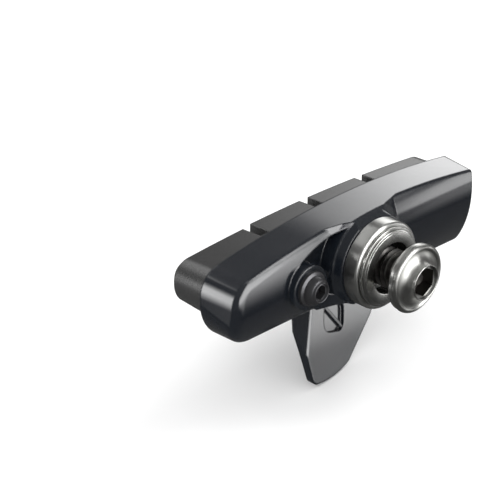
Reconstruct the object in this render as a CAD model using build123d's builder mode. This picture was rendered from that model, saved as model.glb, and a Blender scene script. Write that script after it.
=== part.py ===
"""Cartridge brake shoe for a road bicycle rim brake, in its right-hand version.

X runs along the shoe, from the closed end of the holder (-X) to its open end (+X).
Y is the axis of the fixing bolt: the pad faces +Y, towards the rim, and the bolt head -Y.
Z is up, away from the wheel hub. The fin hangs down beside the rim.
The origin lies on the bolt axis, on the outer flat face of the ball washer, where the
brake arm is clamped. All sizes are in millimetres.
"""

import os
from math import radians, sqrt, tan

from build123d import *

# Long edges seen along the bolt axis: where each is highest, its height there and its radius
PAD_FACE_TOP = (1.2, 4.7, 305.0)
PAD_FACE_BOTTOM = (-15.0, -3.3, 650.0)
PAD_FOOT_TOP = (1.2, 5.0, 305.0)
PAD_FOOT_BOTTOM = (-15.0, -4.8, 650.0)
PAD_FLANGE_TOP = (1.2, 5.45, 305.0)
PAD_FLANGE_BOTTOM = (-15.0, -4.95, 650.0)
HOLDER_RIM_TOP = (4.0, 7.6, 155.0)
HOLDER_RIM_BOTTOM = (-15.0, -6.75, 1000.0)
HOLDER_BACK_TOP = (4.0, 6.9, 155.0)
HOLDER_BACK_BOTTOM = (-100.0, -3.75, 2500.0)

# Their corner rounds: closed end low and high, open end low and high. The two at an end
# leave at least this share of the end straight
PAD_FACE_ROUNDS = (3.8, 2.9, 3.3, 3.3)
PAD_FOOT_ROUNDS = (5.2, 3.2, 3.6, 3.6)
PAD_FLANGE_ROUNDS = (5.6, 3.4, 3.6, 3.6)
HOLDER_RIM_ROUNDS = (7.0, 3.9, 0.9, 1.4)
HOLDER_BACK_ROUNDS = (2.6, 3.5, 0.4, 0.4)
END_STRAIGHT_SHARE = 0.02

# Pad insert
PAD_CLOSED_END_X = -26.1
PAD_LENGTH = 54.6
PAD_FACE_Y = 18.6
PAD_THICKNESS = 9.8
PAD_EDGE_CHAMFER = 0.45
PAD_END_CHAMFER = 0.8
PAD_FLANGE_WIDTH = 0.2
PAD_FLANGE_HEIGHT = 2.5
PAD_CLEARANCE = 0.15
GROOVE_PITCH = 12.2
GROOVE_WIDTH = 1.8
GROOVE_DEPTH = 4.3
GROOVE_COUNT = 3
MIDDLE_GROOVE_X = 0.7

# Holder casting
HOLDER_END_WALL = 1.1
HOLDER_END_DRAFT = 0.7
HOLDER_MOUTH_SETBACK = 2.3
HOLDER_MOUTH_DRAFT = 1.4
RIM_Y = 11.4
EDGE_CHAMFER = 0.25

# Crowned back of the holder: a flat-arched panel and, at the closed end, a thicker nose
PANEL_CROWN_Y = 5.4
PANEL_CROWN_Z = 2.2
PANEL_CROWN_RADIUS = 16.0
NOSE_CROWN_Y = 4.75
NOSE_CROWN_Z = 1.0
NOSE_CROWN_RADIUS = 12.5
NOSE_INNER_END_X = -6.0
NOSE_ROUND = 1.5

# Pocket between the nose and the boss, at its floor: its walls slope outwards from there
POCKET_FLOOR_Y = 7.0
POCKET_WALL_SLOPE = 30.0
POCKET_BOSS_LEDGE = 0.25
POCKET_CORNER_X = -3.0
POCKET_CORNER_Z = 5.0
POCKET_ARCH_X = -8.6
POCKET_ARCH_Z = 4.5
POCKET_LEFT_X = -12.6
POCKET_LEFT_Z = 3.1
POCKET_BOTTOM_X = -8.6
POCKET_BOTTOM_Z = -2.4

# Collar and screw that hold the pad insert
SCREW_X = -13.1
SCREW_Z = 0.3
COLLAR_DIAMETER = 6.7
COLLAR_FACE_Y = 3.7
SCREW_HEAD_DIAMETER = 5.2
SCREW_HEAD_HEIGHT = 2.2
SCREW_HEAD_SHOULDER = 0.75
SCREW_DOME_DIAMETER = 4.5
SCREW_DOME_STEP = 0.6
SCREW_NOSE_DIAMETER = 2.9
SCREW_DIAMETER = 3.0
SCREW_TIP_DEPTH = 1.6
SCREW_CLEARANCE = 0.1
SCREW_SOCKET = 2.0
SCREW_SOCKET_DEPTH = 1.5

# Guide fin: a blade that flares away from the rim, both downwards and to the closed end
FIN_FRONT_Y = 11.76
FIN_SLOPE_X = 8.4
FIN_SLOPE_Z = 13.8
FIN_ROOT_Z = -4.0
FIN_ROOT_LEFT_X = -11.0
FIN_TIP_LEFT_X = -9.45
FIN_TIP_Z = -18.15
FIN_TIP_ROUND = 1.1
FIN_TOE = (-0.5, -18.35)
FIN_TOE_BOW = (-4.6, -18.8)
FIN_HEEL = (6.9, -13.7)
FIN_HEEL_BOW = (2.8, -16.3)
FIN_TAIL = (13.9, -7.0)
FIN_TAIL_BOW = (9.55, -10.95)
FIN_BACK_ROOT = (12.7, -6.0)
FIN_BACK_MIDDLE = (10.5, -12.0)
FIN_BACK_TIP = (8.5, -18.6)
FIN_EDGE_CHAMFER = 0.2

# Bevel that takes the fin's front edge off on the closed-end side
FIN_BEVEL_POINT = (-9.28, 7.43, -12.08)
FIN_BEVEL_NORMAL = (-0.58, -0.66, 0.47)

# Recess in the fin's front, with a rib across it
RECESS_X = -2.6
RECESS_Z = -10.75
RECESS_WIDTH = 5.0
RECESS_HEIGHT = 4.6
RECESS_CORNER = 1.5
RECESS_TURN = -18.0
RECESS_DEPTH = 0.6
RECESS_RIB_WIDTH = 0.5
RECESS_RIB_TURN = 35.0
RECESS_RIB_HEIGHT = 0.4

# Relief in the fin's rim side, round a raised disc
RELIEF_FLOOR = 1.1
RELIEF_LEFT_X = -3.6
RELIEF_TOP_Z = -8.2
DISC_X = -1.6
DISC_Z = -13.2
DISC_DIAMETER = 6.0

# Fixing bolt
ARM_GAP = 3.5
BOLT_DIAMETER = 6.0
BOLT_CLEARANCE = 0.05
BOLT_END_GAP = 0.4
FLANGE_DIAMETER = 10.4
FLANGE_THICKNESS = 0.65
FLANGE_CHAMFER = 0.3
HEAD_DISH_DIAMETER = 7.6
HEAD_DISH_DEPTH = 0.2
HEAD_FOOT_DIAMETER = 6.5
HEAD_FOOT_HEIGHT = 0.45
HEAD_HUB_DIAMETER = 5.9
HEAD_HUB_CHAMFER = 0.3
HEAD_HEIGHT = 2.15
HEX_SOCKET = 4.0
HEX_DEPTH = 3.4
HEX_CHAMFER_DIAMETER = 4.8
HEX_CHAMFER_DEPTH = 0.35
HEX_CHAMFER_SLOPE = 50.0

# Washers: each bore and rim is a play or a wall round the bolt
HEAD_WASHER_DIAMETER = FLANGE_DIAMETER
HEAD_WASHER_THICKNESS = 0.8
HEAD_WASHER_HOLLOW = 0.35
HEAD_WASHER_LAND = 0.4
HEAD_WASHER_PLAY = 0.2
BALL_PLAY = 0.9
BALL_WALL = 2.15
BALL_EDGE = 0.9
BALL_CHAMFER = 0.5
BALL_RADIUS = 9.5
BALL_CLEARANCE = 0.05
SEAT_PLAY = 1.3
SEAT_RIM = 0.65
SEAT_THICKNESS = 2.4
SEAT_PROUD_Y = 1.0
SEAT_CHAMFER = 0.3

# Boss for the fixing bolt, a little wider than the seat washer on it
BOSS_RIM = 0.3
BOSS_FOOT_STEP = 0.3
BOSS_FOOT_Y = 4.6
BOSS_CREASE_STEP = 1.0
BOSS_CREASE_DROP = 0.85
BOSS_FLARE_STEP = 3.3
BOSS_FLARE_DROP = 1.8
BOSS_SHOULDER_Y = 5.4
BOSS_SHOULDER_Z = 7.1
BOSS_TOP_SLOPE = 28.0

# Worked out from the sizes above
PAD_OPEN_END_X = PAD_CLOSED_END_X + PAD_LENGTH
HOLDER_RIM_CLOSED_X = PAD_CLOSED_END_X - HOLDER_END_WALL
HOLDER_BACK_CLOSED_X = HOLDER_RIM_CLOSED_X + HOLDER_END_DRAFT
HOLDER_RIM_OPEN_X = PAD_OPEN_END_X - HOLDER_MOUTH_SETBACK
HOLDER_BACK_OPEN_X = HOLDER_RIM_OPEN_X - HOLDER_MOUTH_DRAFT
CHANNEL_FLOOR_Y = PAD_FACE_Y - PAD_THICKNESS
BOSS_FACE_Y = SEAT_PROUD_Y + SEAT_THICKNESS
HEAD_WASHER_BORE = BOLT_DIAMETER + 2 * HEAD_WASHER_PLAY
BALL_BORE = BOLT_DIAMETER + 2 * BALL_PLAY
BALL_DIAMETER = BALL_BORE + 2 * BALL_WALL
SEAT_BORE = BOLT_DIAMETER + 2 * SEAT_PLAY
SEAT_DIAMETER = BALL_DIAMETER + 2 * SEAT_RIM
BOSS_FACE_RADIUS = SEAT_DIAMETER / 2 + BOSS_RIM
BOSS_FOOT_RADIUS = BOSS_FACE_RADIUS + BOSS_FOOT_STEP
BOSS_CREASE_RADIUS = BOSS_FOOT_RADIUS + BOSS_CREASE_STEP
BOSS_FLARE_RADIUS = BOSS_FOOT_RADIUS + BOSS_FLARE_STEP
REACH = 60.0


def height(curve, x):
    """Height of a long edge at x."""
    centre_x, centre_height, radius = curve
    return centre_height - (x - centre_x) ** 2 / (2 * radius)


def end_rounds(low, high, low_round, high_round):
    """The two corner rounds of an end, made smaller where the end is too short for both."""
    room = (1 - END_STRAIGHT_SHARE) * (high[1] - low[1])
    fit = min(1, room / (low_round + high_round))
    return low_round * fit, high_round * fit


def outline(y, start, end, top, bottom, rounds, grow=0.0):
    """Outline of the shoe in the plane at y: bowed top and bottom edges, rounded corners."""
    start = start - grow
    end = end + grow
    closed_low = (start, height(bottom, start) - grow)
    closed_high = (start, height(top, start) + grow)
    open_low = (end, height(bottom, end) - grow)
    open_high = (end, height(top, end) + grow)
    with BuildSketch(Plane.XZ.offset(-y)) as shape:
        with BuildLine():
            ThreePointArc(closed_high, (0, height(top, 0) + grow), open_high)
            Line(open_high, open_low)
            ThreePointArc(open_low, (0, height(bottom, 0) - grow), closed_low)
            Line(closed_low, closed_high)
        make_face()
        closed_rounds = end_rounds(closed_low, closed_high, rounds[0] + grow, rounds[1] + grow)
        open_rounds = end_rounds(open_low, open_high, rounds[2] + grow, rounds[3] + grow)
        corners = (closed_low, closed_high, open_low, open_high)
        for corner, radius in zip(corners, closed_rounds + open_rounds):
            fillet(shape.vertices().sort_by_distance(corner)[0], radius)
    return shape.sketch


def holder_block():
    """The holder's outer walls, from the rim back to the face of the boss."""
    with BuildPart() as block:
        rim = outline(
            RIM_Y,
            HOLDER_RIM_CLOSED_X,
            HOLDER_RIM_OPEN_X,
            HOLDER_RIM_TOP,
            HOLDER_RIM_BOTTOM,
            HOLDER_RIM_ROUNDS,
        )
        back = outline(
            BOSS_FACE_Y,
            HOLDER_BACK_CLOSED_X,
            HOLDER_BACK_OPEN_X,
            HOLDER_BACK_TOP,
            HOLDER_BACK_BOTTOM,
            HOLDER_BACK_ROUNDS,
        )
        loft([rim.face(), back.face()], ruled=True)
    return block.part


# Pad insert: flange in the channel, four blocks parted by grooves
with BuildPart() as pad_insert:
    flange = outline(
        CHANNEL_FLOOR_Y,
        PAD_CLOSED_END_X,
        PAD_OPEN_END_X,
        PAD_FLANGE_TOP,
        PAD_FLANGE_BOTTOM,
        PAD_FLANGE_ROUNDS,
        PAD_FLANGE_WIDTH,
    )
    extrude(flange, amount=-PAD_FLANGE_HEIGHT)
    foot = outline(
        CHANNEL_FLOOR_Y,
        PAD_CLOSED_END_X,
        PAD_OPEN_END_X,
        PAD_FOOT_TOP,
        PAD_FOOT_BOTTOM,
        PAD_FOOT_ROUNDS,
    )
    face = outline(
        PAD_FACE_Y,
        PAD_CLOSED_END_X,
        PAD_OPEN_END_X,
        PAD_FACE_TOP,
        PAD_FACE_BOTTOM,
        PAD_FACE_ROUNDS,
    )
    loft([foot.face(), face.face()], ruled=True)
    with Locations((MIDDLE_GROOVE_X, PAD_FACE_Y, 0)):
        with GridLocations(GROOVE_PITCH, 1, GROOVE_COUNT, 1):
            Box(GROOVE_WIDTH, 2 * GROOVE_DEPTH, REACH, mode=Mode.SUBTRACT)
    block_faces = pad_insert.faces().filter_by(Axis.Y).group_by(Axis.Y)[-1].sort_by(Axis.X)
    chamfer(block_faces[1:].edges(), PAD_EDGE_CHAMFER)
    end_face = pad_insert.faces().filter_by(Axis.Y).group_by(Axis.Y)[-1].sort_by(Axis.X)[0]
    chamfer(end_face.edges(), PAD_END_CHAMFER)
    with BuildSketch(Plane.XZ.offset(-CHANNEL_FLOOR_Y)):
        with Locations((SCREW_X, SCREW_Z)):
            Circle(SCREW_DIAMETER / 2 + 2 * SCREW_CLEARANCE)
    extrude(amount=-SCREW_TIP_DEPTH - SCREW_CLEARANCE, mode=Mode.SUBTRACT)
pad_insert.part.label = "pad_insert"

# Nose: the thick closed end, crowned and softly rounded
with BuildPart() as nose:
    add(holder_block())
    with BuildSketch(Plane.YZ.offset(-REACH)):
        with Locations((NOSE_CROWN_Y + NOSE_CROWN_RADIUS, NOSE_CROWN_Z)):
            Circle(NOSE_CROWN_RADIUS)
    extrude(amount=REACH + NOSE_INNER_END_X, mode=Mode.INTERSECT)
    crown = nose.faces().filter_by(GeomType.CYLINDER).sort_by(Axis.Y)[0]
    fillet(crown.edges().sort_by(Axis.X)[:-1], NOSE_ROUND)

# Panel: the arched back of the rest of the holder
with BuildPart() as panel:
    add(holder_block())
    with BuildSketch(Plane.YZ.offset(-REACH)):
        with Locations((PANEL_CROWN_Y + PANEL_CROWN_RADIUS, PANEL_CROWN_Z)):
            Circle(PANEL_CROWN_RADIUS)
    extrude(amount=2 * REACH, mode=Mode.INTERSECT)
    crown = panel.faces().filter_by(GeomType.CYLINDER).sort_by(Axis.Y)[0]
    chamfer(crown.edges(), EDGE_CHAMFER)

# Boss: a round pedestal on the bolt axis that flares into the panel
with BuildPart() as boss:
    with BuildSketch(Plane.XY):
        with BuildLine():
            Polyline(
                (BOSS_FOOT_RADIUS, BOSS_FOOT_Y),
                (BOSS_FACE_RADIUS, BOSS_FACE_Y),
                (0, BOSS_FACE_Y),
                (0, CHANNEL_FLOOR_Y),
                (BOSS_FLARE_RADIUS, CHANNEL_FLOOR_Y),
                (BOSS_FLARE_RADIUS, BOSS_FOOT_Y + BOSS_FLARE_DROP),
                (BOSS_CREASE_RADIUS, BOSS_FOOT_Y + BOSS_CREASE_DROP),
                (BOSS_FOOT_RADIUS, BOSS_FOOT_Y),
            )
        make_face()
    revolve(axis=Axis.Y)
    add(holder_block(), mode=Mode.INTERSECT)
    with BuildSketch(Plane.YZ.offset(-REACH)):
        with Locations(Location((BOSS_SHOULDER_Y, BOSS_SHOULDER_Z), BOSS_TOP_SLOPE)):
            Rectangle(REACH, REACH, align=(Align.MAX, Align.MIN))
    extrude(amount=2 * REACH, mode=Mode.SUBTRACT)


# Fin: a blade cut to its outline, with a slanted front and a curved back
fin_plane = Plane(
    origin=(0, FIN_FRONT_Y, 0),
    x_dir=(1, tan(radians(FIN_SLOPE_X)), 0),
    z_dir=(tan(radians(FIN_SLOPE_X)), -1, tan(radians(FIN_SLOPE_Z))),
)
fin_across = Plane(
    origin=(0, 0, 0),
    x_dir=(-tan(radians(FIN_SLOPE_X)), 1, 0),
    z_dir=(1, tan(radians(FIN_SLOPE_X)), 0),
)
with BuildPart() as fin:
    with BuildSketch(Plane.XZ.offset(-RIM_Y)) as fin_outline:
        with BuildLine():
            Polyline(
                FIN_TAIL,
                (FIN_TAIL[0], FIN_ROOT_Z),
                (FIN_ROOT_LEFT_X, FIN_ROOT_Z),
                (FIN_TIP_LEFT_X, FIN_TIP_Z),
            )
            ThreePointArc((FIN_TIP_LEFT_X, FIN_TIP_Z), FIN_TOE_BOW, FIN_TOE)
            ThreePointArc(FIN_TOE, FIN_HEEL_BOW, FIN_HEEL)
            ThreePointArc(FIN_HEEL, FIN_TAIL_BOW, FIN_TAIL)
        make_face()
        fillet(fin_outline.vertices().sort_by_distance((FIN_TIP_LEFT_X, FIN_TIP_Z))[0], FIN_TIP_ROUND)
    extrude(amount=REACH)
    with BuildSketch(fin_plane):
        Rectangle(2 * REACH, 2 * REACH)
    extrude(amount=REACH, mode=Mode.SUBTRACT)
    with BuildSketch(fin_across):
        with BuildLine():
            Polyline((REACH, 0), (FIN_BACK_ROOT[0], 0), FIN_BACK_ROOT)
            ThreePointArc(FIN_BACK_ROOT, FIN_BACK_MIDDLE, FIN_BACK_TIP)
            Polyline(FIN_BACK_TIP, (FIN_BACK_TIP[0], -REACH), (REACH, -REACH), (REACH, 0))
        make_face()
    extrude(amount=REACH, both=True, mode=Mode.SUBTRACT)
    split(bisect_by=Plane(origin=FIN_BEVEL_POINT, z_dir=FIN_BEVEL_NORMAL), keep=Keep.BOTTOM)
    fin_front = fin.faces().filter_by(fin_plane).sort_by(SortBy.AREA)[-1]
    chamfer(fin_front.edges(), FIN_EDGE_CHAMFER)

# Pocket: the space cut out between the nose and the boss
with BuildPart() as pocket:
    with BuildSketch(Plane.XZ.offset(-POCKET_FLOOR_Y)):
        with BuildLine():
            Polyline(
                (POCKET_LEFT_X, POCKET_LEFT_Z),
                (POCKET_BOTTOM_X, POCKET_BOTTOM_Z),
                (POCKET_CORNER_X, POCKET_BOTTOM_Z),
                (POCKET_CORNER_X, POCKET_CORNER_Z),
            )
            ThreePointArc(
                (POCKET_CORNER_X, POCKET_CORNER_Z),
                (POCKET_ARCH_X, POCKET_ARCH_Z),
                (POCKET_LEFT_X, POCKET_LEFT_Z),
            )
        make_face()
    extrude(amount=POCKET_FLOOR_Y, taper=-POCKET_WALL_SLOPE)
    with BuildSketch(Plane.XZ):
        Circle(BOSS_FOOT_RADIUS + POCKET_BOSS_LEDGE)
    extrude(amount=REACH, both=True, mode=Mode.SUBTRACT)

# Holder: the casting in one piece, with its channel, pocket, collar and bores
with BuildPart() as holder:
    add(panel.part)
    add(nose.part)
    add(boss.part)
    add(fin.part)
    add(pocket.part, mode=Mode.SUBTRACT)
    with BuildSketch(Plane.XZ.offset(-COLLAR_FACE_Y)):
        with Locations((SCREW_X, SCREW_Z)):
            Circle(COLLAR_DIAMETER / 2)
    extrude(amount=COLLAR_FACE_Y - POCKET_FLOOR_Y)
    channel = outline(
        CHANNEL_FLOOR_Y,
        PAD_CLOSED_END_X,
        PAD_OPEN_END_X,
        PAD_FLANGE_TOP,
        PAD_FLANGE_BOTTOM,
        PAD_FLANGE_ROUNDS[:2] + (PAD_CLEARANCE, PAD_CLEARANCE),
        PAD_FLANGE_WIDTH + PAD_CLEARANCE,
    )
    extrude(channel, amount=CHANNEL_FLOOR_Y - RIM_Y, mode=Mode.SUBTRACT)
    with BuildSketch(Plane.XZ):
        Circle(BOLT_DIAMETER / 2)
        with Locations((SCREW_X, SCREW_Z)):
            Circle(SCREW_DIAMETER / 2)
    extrude(amount=-RIM_Y, mode=Mode.SUBTRACT)
    with BuildSketch(fin_plane):
        with Locations(Location((RECESS_X, RECESS_Z), RECESS_TURN)):
            RectangleRounded(RECESS_WIDTH, RECESS_HEIGHT, RECESS_CORNER)
    extrude(amount=-RECESS_DEPTH, mode=Mode.SUBTRACT)
    with BuildSketch(fin_plane.offset(-RECESS_DEPTH)):
        with Locations(Location((RECESS_X, RECESS_Z), RECESS_TURN)):
            RectangleRounded(RECESS_WIDTH, RECESS_HEIGHT, RECESS_CORNER)
        with Locations(Location((RECESS_X, RECESS_Z), RECESS_RIB_TURN)):
            Rectangle(RECESS_RIB_WIDTH, 2 * RECESS_HEIGHT, mode=Mode.INTERSECT)
    extrude(amount=RECESS_RIB_HEIGHT)
    with BuildSketch(fin_plane.offset(-RELIEF_FLOOR)):
        with Locations((RELIEF_LEFT_X, RELIEF_TOP_Z)):
            Rectangle(REACH, REACH, align=(Align.MIN, Align.MAX))
        with Locations((DISC_X, DISC_Z)):
            Circle(DISC_DIAMETER / 2, mode=Mode.SUBTRACT)
    extrude(amount=-REACH, mode=Mode.SUBTRACT)
holder.part.label = "holder"

# Pad fixing screw
with BuildPart() as pad_fixing_screw:
    head_face_y = COLLAR_FACE_Y - SCREW_HEAD_HEIGHT
    with BuildSketch(Plane.XY.offset(SCREW_Z)):
        with BuildLine():
            Polyline(
                (SCREW_X, head_face_y),
                (SCREW_X + SCREW_NOSE_DIAMETER / 2, head_face_y),
                (SCREW_X + SCREW_DOME_DIAMETER / 2, head_face_y + SCREW_DOME_STEP),
                (SCREW_X + SCREW_HEAD_DIAMETER / 2, head_face_y + SCREW_HEAD_SHOULDER),
                (SCREW_X + SCREW_HEAD_DIAMETER / 2, COLLAR_FACE_Y),
                (SCREW_X + SCREW_DIAMETER / 2 - SCREW_CLEARANCE, COLLAR_FACE_Y),
                (SCREW_X + SCREW_DIAMETER / 2 - SCREW_CLEARANCE, CHANNEL_FLOOR_Y + SCREW_TIP_DEPTH),
                (SCREW_X, CHANNEL_FLOOR_Y + SCREW_TIP_DEPTH),
                (SCREW_X, head_face_y),
            )
        make_face()
    revolve(axis=Axis((SCREW_X, 0, SCREW_Z), (0, 1, 0)))
    with BuildSketch(Plane.XZ.offset(-head_face_y)):
        with Locations((SCREW_X, SCREW_Z)):
            RegularPolygon(SCREW_SOCKET / 2, 6, major_radius=False)
    extrude(amount=-SCREW_SOCKET_DEPTH, mode=Mode.SUBTRACT)
pad_fixing_screw.part.label = "pad_fixing_screw"


def ball_height(radius, clearance):
    """Y of the ball face, or of the seat that it turns in, at a distance from the bolt axis."""
    centre = BALL_EDGE - sqrt(BALL_RADIUS**2 - (BALL_DIAMETER / 2) ** 2)
    return centre + sqrt((BALL_RADIUS + clearance) ** 2 - radius**2)


def turned(points):
    """Revolve a closed outline, given as radius and Y, about the bolt axis."""
    with BuildSketch(Plane.XY) as profile:
        with BuildLine():
            Polyline(*points, close=True)
        make_face()
    return profile.sketch


# Seat washer: a thick ring whose hollow face takes the ball washer
with BuildPart() as seat_washer:
    revolve(
        turned(
            [
                (SEAT_BORE / 2, SEAT_PROUD_Y),
                (SEAT_DIAMETER / 2 - SEAT_CHAMFER, SEAT_PROUD_Y),
                (SEAT_DIAMETER / 2, SEAT_PROUD_Y + SEAT_CHAMFER),
                (SEAT_DIAMETER / 2, BOSS_FACE_Y - SEAT_CHAMFER),
                (SEAT_DIAMETER / 2 - SEAT_CHAMFER, BOSS_FACE_Y),
                (SEAT_BORE / 2, BOSS_FACE_Y),
            ]
        ),
        axis=Axis.Y,
    )
    with Locations((0, ball_height(0, BALL_CLEARANCE) - BALL_RADIUS - BALL_CLEARANCE, 0)):
        Sphere(BALL_RADIUS + BALL_CLEARANCE, mode=Mode.SUBTRACT)
seat_washer.part.label = "seat_washer"

# Ball washer: flat outer face for the brake arm, spherical inner face
with BuildPart() as ball_washer:
    revolve(
        turned(
            [
                (BALL_BORE / 2, 0),
                (BALL_DIAMETER / 2 - BALL_CHAMFER, 0),
                (BALL_DIAMETER / 2, BALL_CHAMFER),
                (BALL_DIAMETER / 2, BALL_RADIUS),
                (BALL_BORE / 2, BALL_RADIUS),
            ]
        ),
        axis=Axis.Y,
    )
    with Locations((0, ball_height(0, 0) - BALL_RADIUS, 0)):
        Sphere(BALL_RADIUS, mode=Mode.INTERSECT)
ball_washer.part.label = "ball_washer"

# Head washer: thin, slightly hollow on the side that meets the arm
under_head_y = -ARM_GAP - HEAD_WASHER_THICKNESS
with BuildPart() as head_washer:
    revolve(
        turned(
            [
                (HEAD_WASHER_BORE / 2, under_head_y),
                (HEAD_WASHER_DIAMETER / 2, under_head_y),
                (HEAD_WASHER_DIAMETER / 2, -ARM_GAP),
                (HEAD_WASHER_DIAMETER / 2 - HEAD_WASHER_LAND, -ARM_GAP),
                (HEAD_WASHER_BORE / 2, -ARM_GAP - HEAD_WASHER_HOLLOW),
            ]
        ),
        axis=Axis.Y,
    )
head_washer.part.label = "head_washer"

# Fixing bolt: flanged head that rises to a ring round the hexagon socket
bolt_end_y = CHANNEL_FLOOR_Y - BOLT_END_GAP
rim_y = under_head_y - FLANGE_THICKNESS
nose_y = under_head_y - HEAD_HEIGHT
with BuildPart() as fixing_bolt:
    shank_radius = BOLT_DIAMETER / 2 - BOLT_CLEARANCE
    revolve(
        turned(
            [
                (0, nose_y),
                (HEAD_HUB_DIAMETER / 2 - HEAD_HUB_CHAMFER, nose_y),
                (HEAD_HUB_DIAMETER / 2, nose_y + HEAD_HUB_CHAMFER),
                (HEAD_FOOT_DIAMETER / 2, rim_y - HEAD_FOOT_HEIGHT),
                (HEAD_DISH_DIAMETER / 2, rim_y + HEAD_DISH_DEPTH),
                (FLANGE_DIAMETER / 2 - FLANGE_CHAMFER, rim_y),
                (FLANGE_DIAMETER / 2, rim_y + FLANGE_CHAMFER),
                (FLANGE_DIAMETER / 2, under_head_y),
                (shank_radius, under_head_y),
                (shank_radius, bolt_end_y),
                (0, bolt_end_y),
            ]
        ),
        axis=Axis.Y,
    )
    with BuildSketch(Plane.XZ.offset(-nose_y)):
        RegularPolygon(HEX_SOCKET / 2, 6, major_radius=False)
    extrude(amount=-HEX_DEPTH, mode=Mode.SUBTRACT)
    with BuildSketch(Plane.XZ.offset(-nose_y)):
        Circle(HEX_CHAMFER_DIAMETER / 2)
    extrude(amount=-HEX_CHAMFER_DEPTH, taper=HEX_CHAMFER_SLOPE, mode=Mode.SUBTRACT)
fixing_bolt.part.label = "fixing_bolt"

os.makedirs("parts", exist_ok=True)
export_step(holder.part, "parts/holder.step")
export_step(pad_insert.part, "parts/pad_insert.step")
export_step(pad_fixing_screw.part, "parts/pad_fixing_screw.step")
export_step(seat_washer.part, "parts/seat_washer.step")
export_step(ball_washer.part, "parts/ball_washer.step")
export_step(head_washer.part, "parts/head_washer.step")
export_step(fixing_bolt.part, "parts/fixing_bolt.step")
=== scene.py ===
"""Studio look of a cartridge brake shoe for a rim brake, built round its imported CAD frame."""

import bpy
from math import acos, cos, degrees, pi, radians, sin
from mathutils import Matrix, Vector


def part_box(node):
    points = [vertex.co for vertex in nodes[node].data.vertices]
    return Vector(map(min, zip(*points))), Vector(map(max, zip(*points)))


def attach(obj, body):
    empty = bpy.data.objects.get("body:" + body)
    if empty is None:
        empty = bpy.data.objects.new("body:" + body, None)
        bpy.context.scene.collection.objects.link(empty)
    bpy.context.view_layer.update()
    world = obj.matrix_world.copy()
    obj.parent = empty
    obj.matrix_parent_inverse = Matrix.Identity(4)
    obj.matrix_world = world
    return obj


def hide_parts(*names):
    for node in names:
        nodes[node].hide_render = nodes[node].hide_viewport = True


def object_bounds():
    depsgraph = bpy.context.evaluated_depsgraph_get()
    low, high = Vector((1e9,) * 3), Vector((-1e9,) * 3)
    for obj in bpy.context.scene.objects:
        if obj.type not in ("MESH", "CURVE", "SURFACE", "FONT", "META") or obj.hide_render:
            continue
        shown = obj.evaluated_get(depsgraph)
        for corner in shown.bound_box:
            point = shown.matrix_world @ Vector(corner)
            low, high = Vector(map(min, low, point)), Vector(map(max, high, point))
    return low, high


MM = 0.001

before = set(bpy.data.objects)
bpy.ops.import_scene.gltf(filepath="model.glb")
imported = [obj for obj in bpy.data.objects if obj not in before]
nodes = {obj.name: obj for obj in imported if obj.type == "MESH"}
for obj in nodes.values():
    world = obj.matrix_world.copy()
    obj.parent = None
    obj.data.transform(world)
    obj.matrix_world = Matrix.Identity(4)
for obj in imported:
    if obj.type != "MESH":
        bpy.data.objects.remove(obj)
cad_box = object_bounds()


# Materials

# A wave texture of scale 1 repeats after this length
WAVE_PERIOD = 2 * pi / 20


def linear(colour):
    """An sRGB hex colour as Blender's linear colour."""
    parts = [int(colour[i:i + 2], 16) / 255 for i in (1, 3, 5)]
    return [c / 12.92 if c <= 0.04045 else ((c + 0.055) / 1.055) ** 2.4 for c in parts] + [1.0]


def add(tree, kind, links=None, **settings):
    """Adds a node. A setting named like an input socket is its value, any other is an attribute."""
    new = tree.nodes.new(kind)
    # Attributes come first, because they decide which sockets the node has.
    for name, value in settings.items():
        if hasattr(new, name):
            setattr(new, name, value)
    for name, value in settings.items():
        if not hasattr(new, name):
            new.inputs[name.replace("_", " ")].default_value = value
    for name, source in (links or {}).items():
        tree.links.new(source, new.inputs[name])
    return new


def lumps(size):
    """Scale of a noise whose lumps are that many millimetres across."""
    return 1 / (size * MM)


def material(name, colour, roughness, **settings):
    """A new material on one Principled shader. Returns it, its tree, its shader and Object coordinates."""
    made = bpy.data.materials.new(name)
    made.use_nodes = True
    tree = made.node_tree
    shader = tree.nodes["Principled BSDF"]
    shader.inputs["Base Color"].default_value = linear(colour)
    shader.inputs["Roughness"].default_value = roughness
    for socket, value in settings.items():
        shader.inputs[socket.replace("_", " ")].default_value = value
    return made, tree, shader, add(tree, "ShaderNodeTexCoord").outputs["Object"]


def vary_gloss(tree, shader, where, size, low, high):
    """Lets the roughness wander from low to high over patches of that size in millimetres."""
    patches = add(tree, "ShaderNodeTexNoise", {"Vector": where}, Scale=lumps(size), Detail=3.0)
    spread = add(tree, "ShaderNodeMapRange", {"Value": patches.outputs["Fac"]}, To_Min=low, To_Max=high)
    tree.links.new(spread.outputs["Result"], shader.inputs["Roughness"])


def gloss_paint():
    """Gloss black stoved paint on die-cast aluminium: blue-black, with soft mirror-like reflections."""
    made, tree, shader, where = material("gloss_black_stoving_paint", "#14181e", 0.2, Coat_Weight=1.0,
                                         Coat_Roughness=0.1, Specular_IOR_Level=0.3)
    # Paint rounds the casting's corners.
    rounded = add(tree, "ShaderNodeBevel", samples=6, Radius=0.35 * MM).outputs["Normal"]
    # Orange peel of sprayed paint is about 1.5 mm across and a few microns high.
    peel = add(tree, "ShaderNodeTexNoise", {"Vector": where}, Scale=lumps(1.54), Detail=2.0, Roughness=0.5)
    bump = add(tree, "ShaderNodeBump", {"Height": peel.outputs["Fac"], "Normal": rounded},
               Strength=0.05, Distance=0.1 * MM)
    tree.links.new(bump.outputs["Normal"], shader.inputs["Normal"])
    tree.links.new(rounded, shader.inputs["Coat Normal"])
    # Handling dulls the gloss in patches a few millimetres wide.
    vary_gloss(tree, shader, where, size=5.56, low=0.2, high=0.3)
    return made


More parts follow.
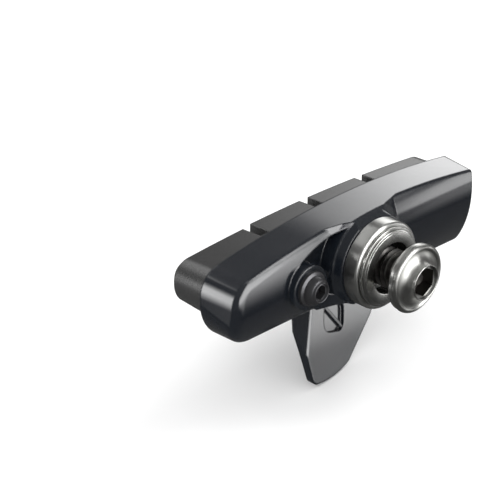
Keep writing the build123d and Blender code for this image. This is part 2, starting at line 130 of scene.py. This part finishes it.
def pad_rubber():
    """Moulded brake rubber: dark grey, filled with mineral grit, matt with a faint sheen."""
    made, tree, shader, where = material("moulded_brake_rubber", "#343434", 0.25, Specular_IOR_Level=1.0)
    # Moulded corners are never sharp.
    rounded = add(tree, "ShaderNodeBevel", samples=6, Radius=0.3 * MM).outputs["Normal"]
    # Filler grit is about 0.2 mm, drawn at 0.36 mm so that it shows.
    grit = add(tree, "ShaderNodeTexNoise", {"Vector": where}, Scale=lumps(0.357), Detail=3.0, Roughness=0.6)
    tone = add(tree, "ShaderNodeMix", {"Factor": grit.outputs["Fac"]}, data_type="RGBA",
               A=linear("#272727"), B=linear("#3c3c3c"))
    tree.links.new(tone.outputs["Result"], shader.inputs["Base Color"])
    bump = add(tree, "ShaderNodeBump", {"Height": grit.outputs["Fac"], "Normal": rounded},
               Strength=0.12, Distance=0.03 * MM)
    tree.links.new(bump.outputs["Normal"], shader.inputs["Normal"])
    return made


def turned_steel(name, colour, roughness):
    """Nickel-plated steel off a lathe: bright, its highlights drawn out into fans by the tool's rings."""
    made, tree, shader, where = material(name, colour, roughness, Metallic=1.0, Anisotropic=0.93,
                                         Anisotropic_Rotation=0.25)
    around_axis = add(tree, "ShaderNodeTangent", direction_type="RADIAL", axis="Y")
    tree.links.new(around_axis.outputs["Tangent"], shader.inputs["Tangent"])
    # Plating varies in gloss over patches of about 1.4 mm.
    vary_gloss(tree, shader, where, size=1.43, low=roughness - 0.05, high=roughness + 0.05)
    # Feed marks of the lathe are about 0.12 mm apart, drawn 0.49 mm apart so that they show.
    rings = add(tree, "ShaderNodeTexWave", {"Vector": where}, wave_type="RINGS", rings_direction="Y",
                Scale=WAVE_PERIOD / (0.49 * MM), Distortion=0.3, Detail=2.0)
    bump = add(tree, "ShaderNodeBump", {"Height": rings.outputs["Fac"]}, Strength=0.04, Distance=0.005 * MM)
    tree.links.new(bump.outputs["Normal"], shader.inputs["Normal"])
    return made


def black_oxide():
    """Black-oxided steel screw: near black, with a grainy forged head."""
    made, tree, shader, where = material("black_oxide_steel", "#4c4c4e", 0.36, Metallic=0.8)
    # Forging scale is about 0.15 mm, drawn at 0.31 mm so that it shows.
    scale = add(tree, "ShaderNodeTexNoise", {"Vector": where}, Scale=lumps(0.3125), Detail=3.0)
    bump = add(tree, "ShaderNodeBump", {"Height": scale.outputs["Fac"]}, Strength=0.4, Distance=0.05 * MM)
    tree.links.new(bump.outputs["Normal"], shader.inputs["Normal"])
    return made


def painted_shade_thread():
    """Rolled thread of the bolt, its colour darkened as painted shade of the bore and the gap between the
    washers: dull grey, paler in random smears.
    """
    # The dark base colour is painted shade.
    made, tree, shader, where = material("shade_darkened_thread_steel", "#454442", 0.36, Metallic=1.0)
    # Paler smears over the painted shade fall at random and are about 1 mm across.
    smear = add(tree, "ShaderNodeTexNoise", {"Vector": where}, Scale=lumps(1.11), Detail=3.0)
    tone = add(tree, "ShaderNodeMix", {"Factor": smear.outputs["Fac"]}, data_type="RGBA",
               A=linear("#262625"), B=linear("#8a8885"))
    tree.links.new(tone.outputs["Result"], shader.inputs["Base Color"])
    return made


def painted_shade_socket():
    """Wall of the hexagon socket: dull forged steel, its colour darkened as painted shade of the recess."""
    # The dark base colour is painted shade.
    made, tree, shader, where = material("shade_darkened_socket_steel", "#55534f", 0.42, Metallic=1.0)
    # Broaching marks are about 0.3 mm apart, drawn at 0.56 mm so that they show.
    vary_gloss(tree, shader, where, size=0.556, low=0.36, high=0.5)
    return made


def dress(obj, made):
    """Puts one material on every slot of an object."""
    if not obj.material_slots:
        obj.data.materials.append(made)
    for one in obj.material_slots:
        one.material = made


paint = gloss_paint()
rubber = pad_rubber()
washer_steel = turned_steel("satin_nickel_plated_steel", "#c0c0bd", 0.3)
ball_steel = turned_steel("fine_turned_nickel_plated_steel", "#b4b4b1", 0.22)
bolt_steel = turned_steel("polished_nickel_plated_steel", "#a2a29f", 0.32)
thread_steel = painted_shade_thread()
socket_shade_steel = painted_shade_socket()
oxide = black_oxide()

dress(nodes["holder"], paint)
dress(nodes["pad_insert"], rubber)


# Turned pieces: each outline is drawn as radius and Y in millimetres, then spun about its axis

TURN_STEPS = 96
THREAD_STEPS = 64
CORNER_STEPS = 4
MERGE = 0.002 * MM
BOLT_AXIS = (0.0, 0.0, 0.0)


def arc(centre, radius, start, end, steps=CORNER_STEPS, rise=None):
    """Points of an arc between two angles in degrees, or of an ellipse whose second radius is rise."""
    rise = radius if rise is None else rise
    angles = [radians(start + (end - start) * k / steps) for k in range(steps + 1)]
    return [(centre[0] + radius * cos(a), centre[1] + rise * sin(a)) for a in angles]


def draw_line(name, points, axis):
    """A piece with one line of edges through points, drawn from a single vertex. Left in edit mode."""
    places = [Vector((axis[0] + radius, y, axis[2])) * MM for radius, y in points]
    bpy.ops.object.select_all(action="DESELECT")
    bpy.ops.mesh.primitive_plane_add(size=MM, location=places[0])
    piece = bpy.context.object
    piece.name = name
    bpy.ops.object.transform_apply(location=True, rotation=True, scale=True)
    bpy.ops.object.mode_set(mode="EDIT")
    bpy.ops.mesh.select_all(action="SELECT")
    bpy.ops.mesh.merge(type="CENTER")
    for before, after in zip(places, places[1:]):
        bpy.ops.mesh.extrude_region_move(TRANSFORM_OT_translate={"value": after - before})
    bpy.ops.mesh.select_all(action="SELECT")
    return piece


def close_mesh(mend=None, **settings):
    """Merges doubles, runs one more mend if given, turns the normals outwards and leaves edit mode."""
    bpy.ops.mesh.select_all(action="SELECT")
    bpy.ops.mesh.remove_doubles(threshold=MERGE)
    if mend:
        mend(**settings)
    bpy.ops.mesh.normals_make_consistent(inside=False)
    bpy.ops.object.mode_set(mode="OBJECT")


def turned(name, points, axis=BOLT_AXIS):
    """A piece spun from its outline, which ends where it starts or starts and ends on the axis."""
    piece = draw_line(name, points, axis)
    bpy.ops.mesh.spin(steps=TURN_STEPS, angle=2 * pi, center=Vector(axis) * MM, axis=(0, 1, 0))
    close_mesh()
    return piece


def apply(piece, kind, **settings):
    """Adds a modifier and applies it."""
    bpy.context.view_layer.objects.active = piece
    step = piece.modifiers.new(kind.lower(), kind)
    for name, value in settings.items():
        setattr(step, name, value)
    bpy.ops.object.modifier_apply(modifier=step.name)


def cut_hexagon(piece, width, mouth_y, depth, made, axis=BOLT_AXIS):
    """Cuts a hexagon socket of that width across flats, inwards from mouth_y, its wall in its own finish."""
    bpy.ops.object.select_all(action="DESELECT")
    # Half of the key stands out of the mouth.
    bpy.ops.mesh.primitive_cylinder_add(
        vertices=6, radius=width / 2 / cos(pi / 6) * MM, depth=2 * depth * MM,
        location=Vector((axis[0], mouth_y, axis[2])) * MM, rotation=(pi / 2, 0, 0))
    key = bpy.context.object
    bpy.ops.object.transform_apply(location=True, rotation=True, scale=True)
    dress(key, made)
    apply(piece, "BOOLEAN", operation="DIFFERENCE", solver="EXACT", material_mode="TRANSFER", object=key)
    bpy.data.objects.remove(key, do_unlink=True)
    piece.select_set(True)
    bpy.ops.object.mode_set(mode="EDIT")
    close_mesh(bpy.ops.mesh.dissolve_degenerate, threshold=MERGE)


def finish_piece(piece, made, node=None, smooth_angle=35):
    """Smooths the piece's faces and gives it its finish and its place in the frame."""
    bpy.ops.object.select_all(action="DESELECT")
    piece.select_set(True)
    bpy.context.view_layer.objects.active = piece
    bpy.ops.object.shade_smooth_by_angle(angle=radians(smooth_angle))
    # A piece with a socket has its finishes since the cut.
    if not piece.material_slots:
        dress(piece, made)
    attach(piece, "root")
    if node:
        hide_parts(node)


# Faces of the stack along the bolt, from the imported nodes
SEAT_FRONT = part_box("seat_washer")[0][1] / MM
BOSS_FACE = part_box("seat_washer")[1][1] / MM
SEAT_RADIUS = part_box("seat_washer")[1][0] / MM
BALL_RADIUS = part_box("ball_washer")[1][0] / MM
UNDER_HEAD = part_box("head_washer")[0][1] / MM
ARM_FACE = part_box("head_washer")[1][1] / MM
HEAD_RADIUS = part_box("fixing_bolt")[1][0] / MM
NOSE_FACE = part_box("fixing_bolt")[0][1] / MM
BOLT_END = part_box("fixing_bolt")[1][1] / MM

# Seat washer: a satin band with a rolled front lip and a hollow, spherical seat
SEAT_BORE = 4.3
SEAT_BACK_ROUND = 0.2
SEAT_LIP = 0.42
SEAT_THROAT = 5.95
THROAT_CHAMFER = 0.1
THROAT_DEPTH = 0.12
SEAT_MIDDLE = 5.2
MIDDLE_DEPTH = 0.95
SEAT_DEPTH = 1.5
seat = [(SEAT_BORE, BOSS_FACE)]
seat += arc((SEAT_RADIUS - SEAT_BACK_ROUND, BOSS_FACE - SEAT_BACK_ROUND), SEAT_BACK_ROUND, 90, 0)
seat += arc((SEAT_RADIUS - SEAT_LIP, SEAT_FRONT + SEAT_LIP), SEAT_LIP, 0, -90, steps=6)
seat += [(SEAT_THROAT + THROAT_CHAMFER, SEAT_FRONT), (SEAT_THROAT, SEAT_FRONT + THROAT_DEPTH)]
seat += [(SEAT_MIDDLE, SEAT_FRONT + MIDDLE_DEPTH), (SEAT_BORE, SEAT_FRONT + SEAT_DEPTH)]
seat.append(seat[0])
finish_piece(turned("seat_ring", seat), washer_steel, "seat_washer")

# Ball washer: a flat turned face for the arm at Y 0, two fine steps at its edge, a spherical back
BALL_BORE = 3.9
BORE_ROUND = 0.15
BALL_FACE_RADIUS = 5.5
FACE_ROUND = 0.1
INNER_STEP = 0.3
OUTER_STEP = 0.5
STEP_WIDTH = 0.14
STEP_DRAFT = 0.02
BALL_EDGE = 0.9
BALL_CURVE = 9.5
step_radius = BALL_FACE_RADIUS + STEP_WIDTH
ball_centre = BALL_EDGE - (BALL_CURVE**2 - BALL_RADIUS**2) ** 0.5
edge_angle = degrees(acos(BALL_RADIUS / BALL_CURVE))
bore_angle = degrees(acos(BALL_BORE / BALL_CURVE))
ball = arc((BALL_BORE + BORE_ROUND, BORE_ROUND), BORE_ROUND, 180, 270)
ball += arc((BALL_FACE_RADIUS - FACE_ROUND, FACE_ROUND), FACE_ROUND, -90, 0)
ball += [(BALL_FACE_RADIUS, INNER_STEP - 2 * STEP_DRAFT), (step_radius, INNER_STEP)]
ball += [(step_radius + STEP_DRAFT, OUTER_STEP)]
ball += arc((BALL_RADIUS - FACE_ROUND, OUTER_STEP + FACE_ROUND), FACE_ROUND, -90, 0)
ball += arc((0, ball_centre), BALL_CURVE, edge_angle, bore_angle, steps=12)
ball.append(ball[0])
finish_piece(turned("ball_ring", ball), ball_steel, "ball_washer")

# Head washer: thin and round-edged, hollow on the arm's side
HEAD_WASHER_BORE = 3.2
HEAD_WASHER_RADIUS = HEAD_RADIUS - 0.12
HEAD_SIDE_ROUND = 0.2
ARM_SIDE_ROUND = 0.3
ARM_RING = 0.6
HOLLOW = 0.35
washer = arc((HEAD_WASHER_RADIUS - HEAD_SIDE_ROUND, UNDER_HEAD + HEAD_SIDE_ROUND), HEAD_SIDE_ROUND, -90, 0)
washer += arc((HEAD_WASHER_RADIUS - ARM_SIDE_ROUND, ARM_FACE - ARM_SIDE_ROUND), ARM_SIDE_ROUND, 0, 90,
              steps=5)
washer += [(HEAD_WASHER_RADIUS - ARM_RING, ARM_FACE), (HEAD_WASHER_BORE, ARM_FACE - HOLLOW)]
washer += [(HEAD_WASHER_BORE, UNDER_HEAD), washer[0]]
finish_piece(turned("head_ring", washer), washer_steel, "head_washer")

# Bolt: flange with a rolled rim, dished up to a narrow ring round the hexagon socket
HEX_WIDTH = 4.0
HEX_DEPTH = 3.4
COUNTERSINK_RADIUS = 2.33
COUNTERSINK_DEPTH = 0.5
LIP_ROUND = 0.13
NOSE_RADIUS = 2.69
NOSE_WALL = 0.3
DISH_RADIUS = 4.2
DISH_FLOOR = -4.82
RIM_CREST = -5.0
RIM_ROUND = 0.5
# Where the dish meets the rim's arc, in degrees
RIM_START = -139
UNDER_ROUND = 0.12
THREAD_ROOT = 2.42
head = [(0, NOSE_FACE + COUNTERSINK_DEPTH), (COUNTERSINK_RADIUS, NOSE_FACE + COUNTERSINK_DEPTH)]
head += arc((NOSE_RADIUS - LIP_ROUND, NOSE_FACE + LIP_ROUND), LIP_ROUND, 180, 360, steps=8)
head += arc((DISH_RADIUS, NOSE_FACE + NOSE_WALL), DISH_RADIUS - NOSE_RADIUS, 180, 90, steps=14,
            rise=DISH_FLOOR - NOSE_FACE - NOSE_WALL)
head += arc((HEAD_RADIUS - RIM_ROUND, RIM_CREST + RIM_ROUND), RIM_ROUND, RIM_START, 0, steps=14)
head += arc((HEAD_RADIUS - UNDER_ROUND, UNDER_HEAD - UNDER_ROUND), UNDER_ROUND, 0, 90, steps=3)
head += [(THREAD_ROOT, UNDER_HEAD), (THREAD_ROOT, BOLT_END), (0, BOLT_END)]
bolt = turned("flange_bolt", head)
dress(bolt, bolt_steel)
# The socket's wall takes the steel darkened as painted shade.
cut_hexagon(bolt, HEX_WIDTH, NOSE_FACE, HEX_DEPTH, socket_shade_steel)

# Its M6 thread: one tooth, as radius and share of the pitch, wound along the shank
PITCH = 1.0
THREAD_CREST = 2.95
# The tooth's foot lies just inside the shank
THREAD_FOOT = THREAD_ROOT - 0.05
THREAD_START = UNDER_HEAD + 0.05
tooth = [(THREAD_FOOT, 0.0), (THREAD_ROOT, 0.1), (THREAD_CREST, 0.42), (THREAD_CREST, 0.58),
         (THREAD_ROOT, 0.9), (THREAD_FOOT, 1.0)]
thread = draw_line("bolt_thread", [(r, THREAD_START + y * PITCH) for r, y in tooth], BOLT_AXIS)
bpy.ops.object.mode_set(mode="OBJECT")
apply(thread, "SCREW", axis="Y", angle=2 * pi, screw_offset=PITCH * MM, steps=THREAD_STEPS,
      render_steps=THREAD_STEPS, iterations=int((BOLT_END - THREAD_START) / PITCH) - 1,
      use_merge_vertices=False)
bpy.ops.object.mode_set(mode="EDIT")
close_mesh(bpy.ops.mesh.fill_holes, sides=0)
finish_piece(bolt, bolt_steel, "fixing_bolt")
finish_piece(thread, thread_steel, smooth_angle=25)

# Pad fixing screw: a grainy domed head with a small hexagon socket
SCREW_LOW, SCREW_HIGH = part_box("pad_fixing_screw")
SCREW_AXIS = ((SCREW_LOW[0] + SCREW_HIGH[0]) / 2 / MM, 0.0, (SCREW_LOW[2] + SCREW_HIGH[2]) / 2 / MM)
SCREW_NOSE = SCREW_LOW[1] / MM
SCREW_TIP = SCREW_HIGH[1] / MM
SCREW_HEAD_RADIUS = (SCREW_HIGH[0] - SCREW_LOW[0]) / 2 / MM
SCREW_KEY = 2.0
SCREW_KEY_DEPTH = 1.5
SCREW_SINK_RADIUS = 1.17
SCREW_SINK_DEPTH = 0.32
SCREW_LIP = 1.5
SCREW_LIP_ROUND = 0.09
CONE_INSET = 0.1
CONE_RADIUS = 2.15
CONE_HEIGHT = 1.35
SCREW_SEAT = 3.7
FLANGE_FACE = SCREW_SEAT - 0.6
FLANGE_ROUND = 0.15
FLANGE_FALL = 0.05
SCREW_NECK = 1.4
screw = [(0, SCREW_NOSE + SCREW_SINK_DEPTH), (SCREW_SINK_RADIUS, SCREW_NOSE + SCREW_SINK_DEPTH)]
screw += arc((SCREW_LIP - SCREW_LIP_ROUND, SCREW_NOSE + SCREW_LIP_ROUND), SCREW_LIP_ROUND, 180, 340, steps=7)
screw += arc((SCREW_LIP - CONE_INSET, FLANGE_FACE), CONE_RADIUS - SCREW_LIP + CONE_INSET, -75, -5, steps=8,
             rise=CONE_HEIGHT)
screw += arc((SCREW_HEAD_RADIUS - FLANGE_ROUND, FLANGE_FACE + FLANGE_FALL + FLANGE_ROUND), FLANGE_ROUND,
             -90, 0)
screw += [(SCREW_HEAD_RADIUS, SCREW_SEAT), (SCREW_NECK, SCREW_SEAT), (SCREW_NECK, SCREW_TIP), (0, SCREW_TIP)]
pad_screw = turned("pad_screw", screw, SCREW_AXIS)
dress(pad_screw, oxide)
cut_hexagon(pad_screw, SCREW_KEY, SCREW_NOSE, SCREW_KEY_DEPTH, oxide, SCREW_AXIS)
finish_piece(pad_screw, oxide, "pad_fixing_screw")


# Studio, its places and sizes in millimetres

SHOE = (0, 0, 0)
FLOOR_SIZE = 6000
FLOOR_GAP = 0.2
TENT_SIZE = 3000
LAMP_SIZE = 420


def bare_tree(owner):
    """The emptied node tree of a new material or world."""
    owner.use_nodes = True
    owner.node_tree.nodes.clear()
    return owner.node_tree


def plain(name, colour, strength=None):
    """A flat studio colour, glowing at that strength if one is given."""
    made = bpy.data.materials.new(name)
    tree = bare_tree(made)
    if strength is None:
        face = add(tree, "ShaderNodeBsdfDiffuse", Color=linear(colour))
    else:
        face = add(tree, "ShaderNodeEmission", Color=linear(colour), Strength=strength)
    add(tree, "ShaderNodeOutputMaterial", {"Surface": face.outputs[0]})
    return made


def only_reflected(obj):
    """Keeps a studio piece out of everything but reflections."""
    obj.visible_camera = False
    obj.visible_diffuse = False
    obj.visible_shadow = False


def card(name, centre, target, width, height, made):
    """A studio card facing a point, seen only in reflections."""
    bpy.ops.object.select_all(action="DESELECT")
    bpy.ops.mesh.primitive_plane_add(size=1)
    made_card = bpy.context.object
    made_card.name = name
    aim = (Vector(target) - Vector(centre)).to_track_quat("Z", "Y")
    made_card.matrix_world = (Matrix.Translation(Vector(centre) * MM) @ aim.to_matrix().to_4x4()
                              @ Matrix.Diagonal((width * MM, height * MM, 1, 1)))
    made_card.data.materials.append(made)
    only_reflected(made_card)


def window(name, centre, width, height, strength, right, left, low, high, target=SHOE, slant=0.0):
    """A card that glows like a soft window, its top edge tilted by slant. Each edge gives where the light
    ends and where it is full, as shares of the card from its middle. Left is left to someone who faces
    the shoe."""
    made = bpy.data.materials.new(name + "_light")
    tree = bare_tree(made)
    where = add(tree, "ShaderNodeTexCoord").outputs["Object"]
    axes = add(tree, "ShaderNodeSeparateXYZ", {"Vector": where})
    across, up = axes.outputs["X"], axes.outputs["Y"]
    sloped = add(tree, "ShaderNodeMath", {0: across, 2: up}, operation="MULTIPLY_ADD")
    sloped.inputs[1].default_value = slant
    edges = ((across, right), (across, left), (up, low), (sloped.outputs["Value"], high))
    ramps = [add(tree, "ShaderNodeMapRange", {"Value": along}, From_Min=end, From_Max=full)
             for along, (end, full) in edges]
    level = ramps[0].outputs["Result"]
    for ramp in ramps[1:]:
        both = add(tree, "ShaderNodeMath", {0: level, 1: ramp.outputs["Result"]}, operation="MULTIPLY")
        level = both.outputs["Value"]
    # Squared, the light fades softly.
    squared = add(tree, "ShaderNodeMath", {0: level, 1: level}, operation="MULTIPLY")
    glow = add(tree, "ShaderNodeMath", {0: squared.outputs["Value"]}, operation="MULTIPLY")
    glow.inputs[1].default_value = strength
    face = add(tree, "ShaderNodeEmission", {"Strength": glow.outputs["Value"]}, Color=linear("#ffffff"))
    add(tree, "ShaderNodeOutputMaterial", {"Surface": face.outputs["Emission"]})
    card(name, centre, target, width, height, made)


def lamp(name, place, watts):
    """A square soft lamp aimed at the shoe."""
    light = bpy.data.lights.new(name, "AREA")
    light.shape = "SQUARE"
    light.size = LAMP_SIZE * MM
    light.energy = watts
    obj = bpy.data.objects.new(name, light)
    bpy.context.scene.collection.objects.link(obj)
    obj.location = Vector(place) * MM
    obj.rotation_euler = (-obj.location).to_track_quat("-Z", "Y").to_euler()
    obj.visible_glossy = False


def around(azimuth, elevation, distance):
    """Place at that distance from the shoe: azimuth from +X towards +Y, elevation from level."""
    flat = distance * cos(radians(elevation))
    return (flat * cos(radians(azimuth)), flat * sin(radians(azimuth)), distance * sin(radians(elevation)))


# White all round, which lights the shoe from every side
world = bpy.data.worlds.new("studio")
bpy.context.scene.world = world
world_tree = bare_tree(world)
sky = add(world_tree, "ShaderNodeBackground", Color=linear("#ffffff"), Strength=1.0)
add(world_tree, "ShaderNodeOutputWorld", {"Surface": sky.outputs["Background"]})

# Floor: a pale surface that takes the shadow. The shoe's own reflections look past it.
bpy.ops.object.select_all(action="DESELECT")
bpy.ops.mesh.primitive_plane_add(size=FLOOR_SIZE * MM, location=(0, 0, cad_box[0][2] - FLOOR_GAP * MM))
floor = bpy.context.object
floor.name = "floor"
floor.data.materials.append(plain("pale_floor", "#fafafa"))
floor.visible_glossy = False

lamp("key_softbox", (520, -160, 560), watts=2.4)
lamp("left_softbox", (-520, -260, 420), watts=1.4)

# What the gloss paint and the steel reflect: a dark tent with soft windows
bpy.ops.object.select_all(action="DESELECT")
bpy.ops.mesh.primitive_cube_add(size=TENT_SIZE * MM)
tent = bpy.context.object
tent.name = "tent"
tent.data.materials.append(plain("tent_cloth", "#ffffff", 0.2))
only_reflected(tent)

# The front window stands square to azimuth -50 degrees, 450 mm away, and reaches far to the left
FRONT = (289.0, -345.0, 0.0)
FRONT_SHIFT = (-314.0, -264.0, 100.0)
window("front_window", Vector(FRONT) + Vector(FRONT_SHIFT), target=FRONT_SHIFT, width=980, height=1000,
       strength=6.8, right=(-0.5, -0.39), left=(0.5, 0.43), low=(-0.46, -0.1), high=(0.33, 0.25), slant=0.348)
window("low_window", around(-33.6, -10, 290), width=140, height=64, strength=3.9,
       right=(-0.5, -0.25), left=(0.5, 0.25), low=(-0.5, -0.38), high=(0.5, 0.2))
window("floor_glow", around(-27, -19, 500), width=420, height=170, strength=1.0,
       right=(-0.5, -0.1), left=(0.5, 0.2), low=(-0.5, -0.1), high=(0.5, 0.2))
window("far_window", around(28, 26, 700), width=623, height=460, strength=3.2,
       right=(-0.5, -0.1), left=(0.5, 0.3), low=(-0.5, -0.3), high=(0.5, 0.35))
window("back_window", around(98, 50, 700), width=820, height=150, strength=2.2,
       right=(-0.5, -0.4), left=(0.5, 0.4), low=(-0.5, -0.3), high=(0.5, 0.3))
window("left_window", around(150, -1, 700), width=240, height=1000, strength=8.5,
       right=(-0.5, -0.1), left=(0.5, 0.1), low=(-0.5, 0.0), high=(0.5, 0.2))

# Below, reflections meet a card that is dimmer than the tent
card("under_flag", (0, 0, -600), SHOE, 2400, 2400, plain("dim_card", "#ffffff", 0.1))


# Camera

CAMERA_PLACE = (-177.775, -147.475, 119.204)
CAMERA_AZIMUTH = -44.914
CAMERA_ELEVATION = 26.5
CAMERA_ROLL = -0.09
CAMERA_LENS = 135.5
CAMERA_SENSOR = 36
NEAREST = 10
FARTHEST = 20000

view = bpy.data.cameras.new("camera")
view.sensor_width = CAMERA_SENSOR
view.lens = CAMERA_LENS
view.clip_start = NEAREST * MM
view.clip_end = FARTHEST * MM
camera = bpy.data.objects.new("camera", view)
bpy.context.scene.collection.objects.link(camera)
camera.matrix_world = (Matrix.Translation(Vector(CAMERA_PLACE) * MM)
                       @ Matrix.Rotation(radians(CAMERA_AZIMUTH), 4, "Z")
                       @ Matrix.Rotation(radians(90 - CAMERA_ELEVATION), 4, "X")
                       @ Matrix.Rotation(radians(CAMERA_ROLL), 4, "Z"))
bpy.context.scene.camera = camera
bpy.context.scene.view_settings.view_transform = "Standard"
